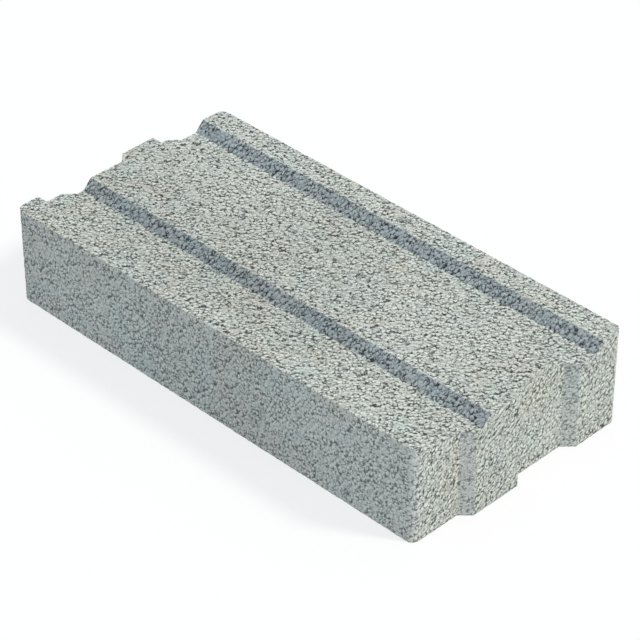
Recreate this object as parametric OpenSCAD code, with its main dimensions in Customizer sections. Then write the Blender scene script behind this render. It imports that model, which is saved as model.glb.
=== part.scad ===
// Solid wall block of open-textured lightweight concrete, cast as one piece.
// Both ends follow the same stepped line, one laying length apart, so blocks lock together end to end.
// Two grooves with sloping walls run along the top, for reinforcing bars bedded in mortar.
// The origin is the middle of the underside, +X runs along the block and +Z is up, as the block is laid.

/* [Block] */
// Length that the block takes up in a course, from a step of one end to the same step of the other
laying_length = 598; // [250:1:800]
// Width across the two long faces
block_width = 298; // [220:1:400]
// Height from the underside to the top
block_height = 120; // [60:1:250]
// Radius of the four upright corners
corner_radius = 10; // [2:0.5:40]

/* [Interlocking ends] */
// Number of sloping flanks across an end
flank_count = 3; // [1:1:4]
// Distance across the width from the middle of one flank to the middle of the next
flank_pitch = 78; // [30:1:85]
// How far a flank runs across the width
flank_run = 12; // [2:0.5:25]
// How far a tongue stands out from the recess beside it
tongue_depth = 12; // [2:0.5:40]

/* [Bed grooves] */
// Width of the shoulder between a long face and the mouth of its groove
groove_shoulder = 31; // [10:1:75]
// Width of a groove's flat floor
groove_floor = 42; // [10:1:80]
// How far a groove's sloping wall runs across the width
groove_wall_run = 12; // [2:0.5:30]
// Depth of a groove below the top
groove_depth = 12; // [4:0.5:60]

/* [Hidden] */
// How far a cut runs past the face that it opens
cut_overshoot = 5;
// Pale grey of the dry concrete
concrete_grey = [0.66, 0.68, 0.65];
$fn = 96;

// Both ends together add one tongue depth to the laying length
overall_length = laying_length + tongue_depth;
// The two end lines start here, at the front long face
left_start = -overall_length / 2;
right_start = left_start + laying_length;
groove_mouth = groove_floor + 2 * groove_wall_run;
groove_offset = block_width / 2 - groove_shoulder - groove_mouth / 2;

// The end line steps out and back at each flank in turn, so an odd count of flanks ends one step out
function step_out(flanks_passed) = tongue_depth * (flanks_passed % 2);

function flank_middle(i) = flank_pitch * (i - (flank_count - 1) / 2);

// Points of an end line from the front long face to the back one
function end_line(start) = [
    [start, -block_width / 2],
    for (i = [0 : flank_count - 1], past = [0, 1])
        [start + step_out(i + past), flank_middle(i) + flank_run * (past - 1 / 2)],
    [start + step_out(flank_count), block_width / 2]
];

function reversed(points) = [for (i = [len(points) - 1 : -1 : 0]) points[i]];

// What lies outside the round of a corner at the origin, with the block towards +X and +Y
module corner_waste() {
    difference() {
        translate([-cut_overshoot, -cut_overshoot])
            square(corner_radius + cut_overshoot);
        translate([corner_radius, corner_radius])
            circle(corner_radius);
    }
}

// The block seen from above
module plan() {
    difference() {
        polygon(concat(end_line(right_start), reversed(end_line(left_start))));
        for (right = [0, 1], back = [0, 1])
            translate([left_start + right * laying_length + step_out(back * flank_count),
                       block_width * (back - 1 / 2)])
                mirror([right, 0])
                    mirror([0, back])
                        corner_waste();
    }
}

// A groove's section, with its mouth at y = 0
module groove_section() {
    polygon([
        [-groove_mouth / 2, cut_overshoot],
        [-groove_mouth / 2, 0],
        [-groove_floor / 2, -groove_depth],
        [groove_floor / 2, -groove_depth],
        [groove_mouth / 2, 0],
        [groove_mouth / 2, cut_overshoot]
    ]);
}

// The section drawn out along the block, past both ends
module groove() {
    rotate([90, 0, 90])
        linear_extrude(overall_length + 2 * cut_overshoot, center = true)
            groove_section();
}

module block() {
    color(concrete_grey)
        difference() {
            linear_extrude(block_height)
                plan();
            for (side = [-1, 1])
                translate([0, side * groove_offset, block_height])
                    groove();
        }
}

block();
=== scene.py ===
import math
from typing import NamedTuple

import bmesh
import bpy
import numpy as np
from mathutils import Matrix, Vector
from mathutils.geometry import delaunay_2d_cdt
from mathutils.kdtree import KDTree


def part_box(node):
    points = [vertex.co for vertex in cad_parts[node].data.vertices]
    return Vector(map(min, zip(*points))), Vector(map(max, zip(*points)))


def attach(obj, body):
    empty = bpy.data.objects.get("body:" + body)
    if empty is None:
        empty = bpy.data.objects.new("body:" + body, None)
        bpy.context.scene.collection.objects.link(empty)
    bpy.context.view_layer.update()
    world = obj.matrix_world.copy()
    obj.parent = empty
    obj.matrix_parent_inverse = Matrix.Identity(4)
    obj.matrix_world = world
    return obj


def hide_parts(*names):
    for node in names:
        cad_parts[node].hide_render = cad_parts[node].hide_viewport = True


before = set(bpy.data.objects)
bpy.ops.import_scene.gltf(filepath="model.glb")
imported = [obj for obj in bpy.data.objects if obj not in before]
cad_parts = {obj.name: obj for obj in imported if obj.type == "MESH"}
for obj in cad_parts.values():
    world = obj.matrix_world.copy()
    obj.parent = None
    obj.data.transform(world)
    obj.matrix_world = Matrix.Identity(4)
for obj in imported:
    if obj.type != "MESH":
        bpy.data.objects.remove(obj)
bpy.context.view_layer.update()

# Sizes of the block, in metres
block_low, block_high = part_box("block")
block_length, block_width, block_height = block_high - block_low
tongue_depth = 0.012
flank_count = 3
flank_pitch = 0.078
flank_run = 0.012
corner_radius = 0.010
groove_shoulder = 0.031
groove_floor = 0.042
groove_wall_run = 0.012
groove_depth = 0.012
laying_length = block_length - tongue_depth

# How finely the skin is meshed, in metres, and how far in from each end the mesh lines follow the end line
skin_pitch = 0.00225
arris_pitch = 0.0006
underside_pitch = 0.008
end_reach = 0.040
merge_distance = 1e-6

# Wear of the arrises: widths and depths in metres
sharp_angle = math.radians(30)
worn_width = 0.0025
rounding_share = 0.3
nick_depth = 0.0003

mm_per_metre = 1000.0

# Sizes in the grain of the concrete, in millimetres
stone_size = 4.4
shake_size = 2.0
shake_reach = 2.3
lump_size = 1.75
closing_size = 3.1
patch_size = 9.0
wear_size = 3.5

# How the stones lie: fully scattered, and drawn out along one slanting line
stone_scatter = 1.0
stone_lean = Vector((1, 1, 1))
stone_stretch = 1.25

# Finer layers in each noise pattern, beyond its first
noise_detail = 1.0

# Depth of the grain, in metres: what is cut into the mesh, and what is left to the bump
stone_depth = 0.00045
bump_depth = 0.0004

# Where each feature of the grain starts and where it is full, on the scale of the pattern that it comes from
patch_edge = (0.51, 0.66)
opening_edge = (0.41, 0.55)
crevice_edge = (0.26, 0.0)
pit_edge = (0.42, 0.30)
crown_edge = (0.36, 0.78)
rise_edge = (0.0, 0.42)
hollow_edge = (0.8, 0.15)
nick_edge = (0.45, 0.70)
rubbed_edge = (0.40, 0.60)

# How strongly the features of the grain act on each other
patch_closing = 0.75
# Painted shade on one side of each stone: how far it widens the crevices and dims the crowns there
crevice_from_painted_shade = 0.26
pit_strength = 0.85
crown_from_stone = 0.45
crown_from_lump = 0.60
crown_from_painted_shade = 0.50
closed_rise = 0.4
lump_rise = 0.4

# Cement that covers the grain, as a share on each kind of face, and how far it fills the crevices
end_cement = 0.04
long_face_cement = 0.50
flank_cement = 0.50
crevice_filling = 0.35

# Colours of the concrete, as linear red, green and blue
crown_pale = (0.805, 0.847, 0.759, 1)
mortar_grey = (0.490, 0.519, 0.471, 1)
patch_grey = (0.61, 0.64, 0.58, 1)
patch_strength = 0.45
cement_grey = (0.755, 0.785, 0.74, 1)
# Near-black in the crevices and pits: partly their own dust and damp, partly painted shade for the shadow
# inside them
crevice_dust_and_shade = (0.046, 0.052, 0.050, 1)
rubbed_grey = (0.66, 0.69, 0.63, 1)
rubbed_strength = 0.3
# Painted shade: this tint makes the groove walls that face the front darker and bluer
wall_tint = (0.73, 0.77, 0.85, 1)

# Gloss of the concrete
crown_polish = 0.15
dry_gloss = 0.2


class Drift(NamedTuple):
    """A broad change of tint: size and place of its pattern in millimetres, its soft edge and its tint."""

    size: float
    place: tuple
    edge: tuple
    tint: tuple


beige_drift = Drift(60.0, (0.0, 0.0, 0.0), (0.48, 0.68), (1.0, 0.975, 0.955, 1))
bluish_drift = Drift(45.0, (310.0, 170.0, 90.0), (0.50, 0.70), (0.95, 0.985, 1.0, 1))
grey_drift = Drift(230.0, (2740.0, 3910.0, 720.0), (0.36, 0.64), (0.91, 0.906, 0.90, 1))


class Wire:
    """A socket of a node tree, for use in arithmetic: every operation adds its Math node."""

    def __init__(self, bench, socket):
        self.bench = bench
        self.socket = socket

    def math(self, operation, first, second):
        return self.bench.add("ShaderNodeMath", {"operation": operation}, {0: first, 1: second})

    def __add__(self, other):
        return self.math("ADD", self, other)

    def __sub__(self, other):
        return self.math("SUBTRACT", self, other)

    def __rsub__(self, other):
        return self.math("SUBTRACT", other, self)

    def __mul__(self, other):
        return self.math("MULTIPLY", self, other)

    __radd__ = __add__
    __rmul__ = __mul__


class Bench:
    """Adds nodes to one node tree."""

    def __init__(self, tree):
        self.tree = tree

    def add(self, kind, settings=None, sockets=None, out=0):
        """A new node of this kind: its settings first, then its sockets. Gives one output as a Wire."""
        node = self.tree.nodes.new(kind)
        for name, value in (settings or {}).items():
            setattr(node, name, value)
        for name, value in (sockets or {}).items():
            if isinstance(value, Wire):
                self.tree.links.new(value.socket, node.inputs[name])
            else:
                node.inputs[name].default_value = value
        return Wire(self, node.outputs[out]) if len(node.outputs) else None

    def vector(self, operation, *inputs, out=0):
        """Vector Math on up to three vectors."""
        return self.add("ShaderNodeVectorMath", {"operation": operation}, dict(enumerate(inputs)), out)

    def scaled(self, vector, factor):
        """A vector times a number."""
        return self.add("ShaderNodeVectorMath", {"operation": "SCALE"}, {0: vector, "Scale": factor})

    def noise(self, place, size, out="Fac"):
        """Noise from 0 to 1 whose features are about one size across, in millimetres."""
        sockets = {"Vector": place, "Scale": 1 / size, "Detail": noise_detail}
        return self.add("ShaderNodeTexNoise", {"noise_dimensions": "3D"}, sockets, out)

    def stones(self, bed, feature, out="Distance"):
        """Stones as cells: the distance from their middles or their borders, or where their middles lie."""
        sockets = {"Vector": bed, "Scale": 1 / stone_size, "Randomness": stone_scatter}
        return self.add("ShaderNodeTexVoronoi", {"feature": feature}, sockets, out)

    def fade(self, wire, edge):
        """0 where an edge starts and 1 where it is full, with a soft step between."""
        start, full = edge
        settings = {"interpolation_type": "SMOOTHSTEP"}
        return self.add("ShaderNodeMapRange", settings, {"Value": wire, "From Min": start, "From Max": full})

    def blend(self, factor, first, second, blend_type="MIX"):
        """A mix of two colours."""
        settings = {"data_type": "RGBA", "blend_type": blend_type}
        return self.add("ShaderNodeMix", settings, {0: factor, 6: first, 7: second}, out=2)


# Shape of the block


def mirrored(places):
    """These places on both sides of the middle, in order."""
    return sorted({side * place for place in places for side in (-1, 1)})


flank_middles = [flank_pitch * (i - (flank_count - 1) / 2) for i in range(flank_count)]
flank_edges = [middle + side * flank_run / 2 for middle in flank_middles for side in (-1, 1)]
groove_mouth_out = block_width / 2 - groove_shoulder
groove_floor_out = groove_mouth_out - groove_wall_run
groove_floor_in = groove_floor_out - groove_floor
groove_mouth_in = groove_floor_in - groove_wall_run
groove_edges = mirrored([groove_mouth_out, groove_floor_out, groove_floor_in, groove_mouth_in])


def stations(breaks):
    """Places along an axis: each break, a place close to it on either side, and even steps between."""
    places = []
    for start, end in zip(breaks, breaks[1:]):
        first, last = start + arris_pitch, end - arris_pitch
        steps = max(1, round((last - first) / skin_pitch))
        places += [start, *np.linspace(first, last, steps + 1)]
    return np.array([*places, breaks[-1]])


def end_step(y):
    """How far the end line stands out at this place across the width."""
    steps = [tongue_depth * ((i + 1) // 2 % 2) for i in range(len(flank_edges))]
    return np.interp(y, flank_edges, steps)


def top_level(y):
    """Height of the grooved top at this place across the width."""
    floor_level = block_height - groove_depth
    levels = [block_height, floor_level, floor_level, block_height]
    return np.interp(y, groove_edges, levels * 2)


def end_shift(along, y):
    """How far a place moves along the block to follow the end line. It dies out away from the ends."""
    from_end = laying_length / 2 - np.abs(along)
    return (end_step(y) - tongue_depth / 2) * np.clip(1 - from_end / end_reach, 0, 1)


def round_corners(x, y):
    """Bends the four square upright corners of the plan into quarter circles."""
    for right in (-1, 1):
        for back in (-1, 1):
            corner_x = right * laying_length / 2 + end_step(back * block_width / 2) - tongue_depth / 2
            centre_x = corner_x - right * corner_radius
            centre_y = back * (block_width / 2 - corner_radius)
            across = (x - centre_x) * right / corner_radius
            deep = (y - centre_y) * back / corner_radius
            inside = (across > 0) & (deep > 0)
            round_x = centre_x + right * corner_radius * across * np.sqrt(np.maximum(0, 1 - deep**2 / 2))
            round_y = centre_y + back * corner_radius * deep * np.sqrt(np.maximum(0, 1 - across**2 / 2))
            x = np.where(inside, round_x, x)
            y = np.where(inside, round_y, y)
    return x, y


def side_cells(counts, axis, high):
    """Corners of the grid cells on one side of a box, as index triples, turning left seen from outside."""
    u, v = (axis + 1) % 3, (axis + 2) % 3
    corner = np.zeros((counts[u], counts[v], 4, 3), int)
    corner[..., axis] = counts[axis] if high else 0
    rows, columns = np.meshgrid(range(counts[u]), range(counts[v]), indexing="ij")
    turn = [(0, 0), (1, 0), (1, 1), (0, 1)]
    for i, (step_u, step_v) in enumerate(turn if high else turn[::-1]):
        corner[:, :, i, u] = rows + step_u
        corner[:, :, i, v] = columns + step_v
    return corner.reshape(-1, 4, 3)


def box_cells(grid):
    """The points of a grid on all sides of its box but the underside, and the cells between them."""
    counts = [points - 1 for points in grid]
    sides = [(0, False), (0, True), (1, False), (1, True), (2, True)]
    corners = np.concatenate([side_cells(counts, axis, high) for axis, high in sides])
    points, cells = np.unique(np.ravel_multi_index(corners.reshape(-1, 3).T, grid), return_inverse=True)
    return points, cells.reshape(-1, 4)


def underside_rim(grid, points):
    """The points of a grid round its underside, in order."""
    right, back = grid[0] - 1, grid[1] - 1
    loop = [(a, 0) for a in range(right)] + [(right, b) for b in range(back)]
    loop += [(right - a, back) for a in range(right)] + [(0, back - b) for b in range(back)]
    return np.searchsorted(points, [np.ravel_multi_index((a, b, 0), grid) for a, b in loop])


def underside(rim):
    """The places inside the rim of the underside, and the triangles between them and the rim."""
    low, high = rim.min(axis=0) + tongue_depth, rim.max(axis=0) - tongue_depth
    lines = [np.arange(start, end, underside_pitch)[1:-1] for start, end in zip(low, high)]
    inner = np.stack(np.meshgrid(*lines), axis=-1).reshape(-1, 2)
    places = [Vector(place) for place in [*rim, *inner]]
    inside_only = 1
    filled = delaunay_2d_cdt(places, [], [range(len(rim))], inside_only, merge_distance)
    _, _, triangles, origins, _, _ = filled
    names = [origin[0] for origin in origins]
    return inner, [[names[corner] for corner in triangle][::-1] for triangle in triangles]


def block_skin():
    """The block's surface as a fine mesh with sharp arrises."""
    along = stations([-laying_length / 2, laying_length / 2])
    across = stations(sorted({*mirrored([block_width / 2]), *groove_edges, *flank_edges}))
    share = stations([0, block_height]) / block_height
    grid = [len(lines) for lines in (along, across, share)]
    points, cells = box_cells(grid)
    i, j, k = np.unravel_index(points, grid)
    x, y = round_corners(along[i] + end_shift(along[i], across[j]), across[j])
    places = np.stack([x, y, share[k] * top_level(across[j])], axis=-1)

    rim = underside_rim(grid, points)
    added, triangles = underside(places[rim, :2])
    names = [*rim, *range(len(places), len(places) + len(added))]
    faces = cells.tolist() + [[names[corner] for corner in triangle] for triangle in triangles]
    places = np.concatenate([places, np.pad(added, ((0, 0), (0, 1)))])
    mesh = bpy.data.meshes.new("block_skin")
    mesh.from_pydata(places.tolist(), [], faces)
    return mesh


def nearness(verts, edges):
    """1 on these edges, falling to 0 at the worn width."""
    ends = {vert for edge in edges for vert in edge.verts}
    tree = KDTree(len(ends))
    for vert in ends:
        tree.insert(vert.co, vert.index)
    tree.balance()
    return [max(0.0, 1 - tree.find(vert.co)[2] / worn_width) for vert in verts]


def slant(first, second):
    """1 for a face turned halfway between two axes, and 0 for one that is square to either."""
    return 4 * first**2 * second**2


def cement_cover(normal):
    """Share of the grain that cement covers: none on the top, a little on the ends, most on the flanks."""
    ends = end_cement * normal.x**2
    long_faces = long_face_cement * normal.y**2 * (1 - abs(normal.z))
    return ends + long_faces + flank_cement * slant(normal.x, normal.y)


def front_wall(place, normal):
    """1 on the sloping groove walls that face the front, where painted shade makes them darker and bluer."""
    in_grooves = abs(place.y) <= groove_mouth_out + arris_pitch / 2
    return slant(normal.y, normal.z) if in_grooves and normal.y <= 0 else 0.0


def wear_arrises(mesh):
    """Rounds the convex arrises a little, and notes on every vertex what the finish follows, including where
    painted shade darkens the front groove walls.
    """
    shape = bmesh.new()
    shape.from_mesh(mesh)
    sharp = [edge for edge in shape.edges if edge.calc_face_angle(0) > sharp_angle]
    convex = [edge for edge in sharp if edge.is_convex]
    notes = {
        "arris": nearness(shape.verts, convex),
        "cement": [cement_cover(vert.normal) for vert in shape.verts],
        # Where painted shade goes: the groove walls that face the front
        "wall": [front_wall(vert.co, vert.normal) for vert in shape.verts],
    }
    worn = list({vert for edge in convex for vert in edge.verts})
    axes = {"use_axis_x": True, "use_axis_y": True, "use_axis_z": True}
    bmesh.ops.smooth_vert(shape, verts=worn, factor=rounding_share, **axes)
    for edge in sharp:
        edge.smooth = False
    shape.to_mesh(mesh)
    shape.free()
    for name, values in notes.items():
        mesh.attributes.new(name, "FLOAT", "POINT").data.foreach_set("value", values)


# Grain of the concrete


def lean_upright(bench, vector):
    """A vector turned so that the lean of the stones stands upright."""
    turn = stone_lean.rotation_difference(Vector((0, 0, 1))).to_euler()
    sockets = {"Vector": vector, "Rotation": turn}
    return bench.add("ShaderNodeVectorRotate", {"rotation_type": "EULER_XYZ"}, sockets)


def stone_bed(bench, place):
    """Where a place in millimetres lies among the stones, which are shaken out of true and drawn out."""
    shake = bench.noise(place, shake_size, "Color")
    reach = (shake_reach, shake_reach, shake_reach)
    shaken = bench.vector("MULTIPLY_ADD", shake, reach, place)
    return bench.vector("MULTIPLY", lean_upright(bench, shaken), (1, 1, 1 / stone_stretch))


def crowns(bench, bed):
    """About 0.2 between the stones and 0.9 on their crowns."""
    return 1 - bench.stones(bed, "F1")


def painted_shade_across(bench, bed):
    """From about -0.5 to 0.5 across each stone, along the face and square to the lean of the stones. It
    paints shade on one side of each stone, as if light fell from the other side.
    """
    middle = bench.stones(bed, "F1", "Position")
    normal = bench.add("ShaderNodeNewGeometry", out="Normal")
    across = bench.vector("NORMALIZE", bench.vector("CROSS_PRODUCT", stone_lean, normal))
    offset = bench.vector("SUBTRACT", bed, middle)
    reach = bench.vector("DOT_PRODUCT", offset, lean_upright(bench, across), out="Value")
    return reach * (1 / stone_size)


class Grain(NamedTuple):
    """What the finish follows: crowns of stones with painted shade on one side, crevices and pits darkened
    partly by painted shade, smooth patches, and the height.
    """

    crown: Wire
    crevice: Wire
    patch: Wire
    height: Wire


def concrete_grain(bench, place):
    """The grain at a place in millimetres."""
    bed = stone_bed(bench, place)
    lumps = bench.noise(bed, lump_size)
    patch = bench.fade(bench.noise(place, patch_size), patch_edge)
    opened = bench.fade(bench.noise(bed, closing_size), opening_edge) * (1 - patch * patch_closing)
    gap = bench.stones(bed, "DISTANCE_TO_EDGE")
    # Painted shade: each stone is darker on one side, through its crevice and its crown
    painted_shade = painted_shade_across(bench, bed)
    crevice = bench.fade(gap - painted_shade * crevice_from_painted_shade, crevice_edge) * opened
    pit = bench.fade(lumps, pit_edge) * pit_strength
    stone = crowns(bench, bed) * crown_from_stone + lumps * crown_from_lump
    crown = bench.fade(stone - painted_shade * crown_from_painted_shade, crown_edge)
    rise = bench.fade(gap, rise_edge) * (closed_rise + opened * (1 - closed_rise))
    return Grain(crown, crevice + pit - crevice * pit, patch, rise + lumps * lump_rise)


def carving():
    """Nodes that sink the hollows between the stones, and nicks along the arrises, into a mesh."""
    tree = bpy.data.node_groups.new("grain_carving", "GeometryNodeTree")
    for way in ("INPUT", "OUTPUT"):
        tree.interface.new_socket("Geometry", in_out=way, socket_type="NodeSocketGeometry")
    bench = Bench(tree)
    skin = bench.add("NodeGroupInput")
    place = bench.scaled(bench.add("GeometryNodeInputPosition"), mm_per_metre)
    hollow = bench.fade(crowns(bench, stone_bed(bench, place)), hollow_edge)
    arris = bench.add("GeometryNodeInputNamedAttribute", {"data_type": "FLOAT"}, {"Name": "arris"})
    nick = bench.fade(bench.noise(place, wear_size), nick_edge) * arris
    depth = hollow * stone_depth + nick * nick_depth
    offset = bench.scaled(bench.add("GeometryNodeInputNormal"), 0 - depth)
    carved = bench.add("GeometryNodeSetPosition", {}, {"Geometry": skin, "Offset": offset})
    bench.add("NodeGroupOutput", {}, {0: carved})
    return tree


def carve(piece):
    """Cuts the grain into the piece's mesh for good."""
    modifier = piece.modifiers.new("grain", "NODES")
    modifier.node_group = carving()
    bpy.context.view_layer.update()
    carved = piece.evaluated_get(bpy.context.evaluated_depsgraph_get())
    mesh = bpy.data.meshes.new_from_object(carved)
    piece.modifiers.clear()
    piece.data = mesh


# Finish of the concrete


def blank_material(name):
    """A new material with no nodes, and the bench for its node tree."""
    material = bpy.data.materials.new(name)
    material.use_nodes = True
    material.node_tree.nodes.clear()
    return material, Bench(material.node_tree)


def noted(bench, name):
    """What wear_arrises noted on the mesh under this name."""
    return bench.add("ShaderNodeAttribute", {"attribute_name": name}, out="Fac")


def stone_colour(bench, grain):
    """Pale crowns in grey mortar with even grey patches, cement over them, and crevices darkened by their
    dust and by painted shade.
    """
    cement = noted(bench, "cement")
    pale = bench.blend(grain.crown, mortar_grey, crown_pale)
    patched = bench.blend(grain.patch * patch_strength, pale, patch_grey)
    covered = bench.blend(cement, patched, cement_grey)
    # Crevices and pits get their dust and painted shade, less where cement fills them
    return bench.blend(grain.crevice * (1 - cement * crevice_filling), covered, crevice_dust_and_shade)


def rubbed_colour(bench, place, colour):
    """The colour rubbed to an even grey here and there along the arrises."""
    rubbed = bench.fade(bench.noise(place, wear_size), rubbed_edge) * noted(bench, "arris")
    return bench.blend(rubbed * rubbed_strength, colour, rubbed_grey)


def drifted_colour(bench, place, colour):
    """The colour with its broad drifts of tint."""
    for drift in (beige_drift, bluish_drift, grey_drift):
        pattern = bench.noise(bench.vector("ADD", place, drift.place), drift.size)
        colour = bench.blend(bench.fade(pattern, drift.edge), colour, drift.tint, "MULTIPLY")
    return colour


def concrete():
    """Dry open-textured concrete, with painted shade in its crevices, on one side of each stone and on the
    groove walls that face the front.
    """
    material, bench = blank_material("open_textured_concrete")
    place = bench.scaled(bench.add("ShaderNodeTexCoord", out="Object"), mm_per_metre)
    grain = concrete_grain(bench, place)
    worn = rubbed_colour(bench, place, stone_colour(bench, grain))
    # Painted shade: darker and bluer on the groove walls that face the front
    colour = bench.blend(noted(bench, "wall"), drifted_colour(bench, place, worn), wall_tint, "MULTIPLY")
    sockets = {
        "Base Color": colour,
        "Roughness": 1 - grain.crown * crown_polish,
        "Specular IOR Level": dry_gloss,
        "Normal": bench.add("ShaderNodeBump", {}, {"Distance": bump_depth, "Height": grain.height}),
    }
    shader = bench.add("ShaderNodeBsdfPrincipled", {}, sockets)
    bench.add("ShaderNodeOutputMaterial", {}, {"Surface": shader})
    return material


def make_block():
    mesh = block_skin()
    wear_arrises(mesh)
    piece = bpy.data.objects.new("concrete_block", mesh)
    bpy.context.scene.collection.objects.link(piece)
    carve(piece)
    for polygon in piece.data.polygons:
        polygon.use_smooth = True
    piece.data.materials.append(concrete())
    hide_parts("block")
    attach(piece, "root")


# Floor, light and camera

white = (1, 1, 1, 1)
white_strength = 1.0
floor_size = 40.0
floor_glow = (0.495, 0.525, 0.535, 1)
floor_glow_share = 0.75
sky_tint = (0.905, 1.0, 1.14, 1)
sky_strength = 0.545
sun_tint = (1.0, 0.93, 0.85)
sun_strength = 2.09
sun_angle = math.radians(10)
to_sun = Vector((0.585, 0.34, 0.735))

camera_azimuth = math.radians(45.013)
camera_elevation = math.radians(36.183)
camera_distance = 3.0139
camera_lens = 158.27
aim_from_middle = Vector((0.0084, 0.0057, -0.0094))


def seen_directly(bench):
    """1 for what the camera sees, straight, mirrored or through glass, and 0 for light that bounces."""
    rays = ("Is Camera Ray", "Is Glossy Ray", "Is Transmission Ray")
    return sum(bench.add("ShaderNodeLightPath", out=ray) for ray in rays)


def pale_floor():
    """White to the camera, with a faint shadow. Light that bounces meets a dimmer, more even glow."""
    material, bench = blank_material("pale_floor")
    lit = bench.add("ShaderNodeBsdfDiffuse", {}, {"Color": white})
    glow = bench.blend(seen_directly(bench), floor_glow, white)
    glowing = bench.add("ShaderNodeEmission", {}, {"Color": glow, "Strength": white_strength})
    shader = bench.add("ShaderNodeMixShader", {}, {0: floor_glow_share, 1: lit, 2: glowing})
    bench.add("ShaderNodeOutputMaterial", {}, {"Surface": shader})
    return material


def make_floor():
    half = floor_size / 2
    corners = [(-half, -half, 0), (half, -half, 0), (half, half, 0), (-half, half, 0)]
    mesh = bpy.data.meshes.new("floor")
    mesh.from_pydata(corners, [], [range(len(corners))])
    mesh.materials.append(pale_floor())
    floor = bpy.data.objects.new("floor", mesh)
    bpy.context.scene.collection.objects.link(floor)


def make_sky():
    """An even dome of light, which the camera sees as white."""
    world = bpy.data.worlds.new("studio")
    bpy.context.scene.world = world
    world.use_nodes = True
    world.node_tree.nodes.clear()
    bench = Bench(world.node_tree)
    dome = bench.add("ShaderNodeBackground", {}, {"Color": sky_tint, "Strength": sky_strength})
    backdrop = bench.add("ShaderNodeBackground", {}, {"Color": white, "Strength": white_strength})
    seen = bench.add("ShaderNodeMixShader", {}, {0: seen_directly(bench), 1: dome, 2: backdrop})
    bench.add("ShaderNodeOutputWorld", {}, {"Surface": seen})


def make_sun():
    lamp = bpy.data.lights.new("key", "SUN")
    lamp.color = sun_tint
    lamp.energy = sun_strength
    lamp.angle = sun_angle
    key = bpy.data.objects.new("key", lamp)
    key.rotation_mode = "QUATERNION"
    key.rotation_quaternion = to_sun.to_track_quat("Z", "Y")
    bpy.context.scene.collection.objects.link(key)


def make_camera():
    level = math.cos(camera_elevation)
    across = math.sin(camera_azimuth) * level
    deep = -math.cos(camera_azimuth) * level
    to_camera = Vector((across, deep, math.sin(camera_elevation)))
    aim = (block_low + block_high) / 2 + aim_from_middle
    data = bpy.data.cameras.new("camera")
    data.lens = camera_lens
    camera = bpy.data.objects.new("camera", data)
    camera.location = aim + to_camera * camera_distance
    camera.rotation_mode = "QUATERNION"
    camera.rotation_quaternion = to_camera.to_track_quat("Z", "Y")
    bpy.context.scene.collection.objects.link(camera)
    bpy.context.scene.camera = camera


make_camera()
make_block()
make_floor()
make_sky()
make_sun()
bpy.context.scene.view_settings.view_transform = "Standard"
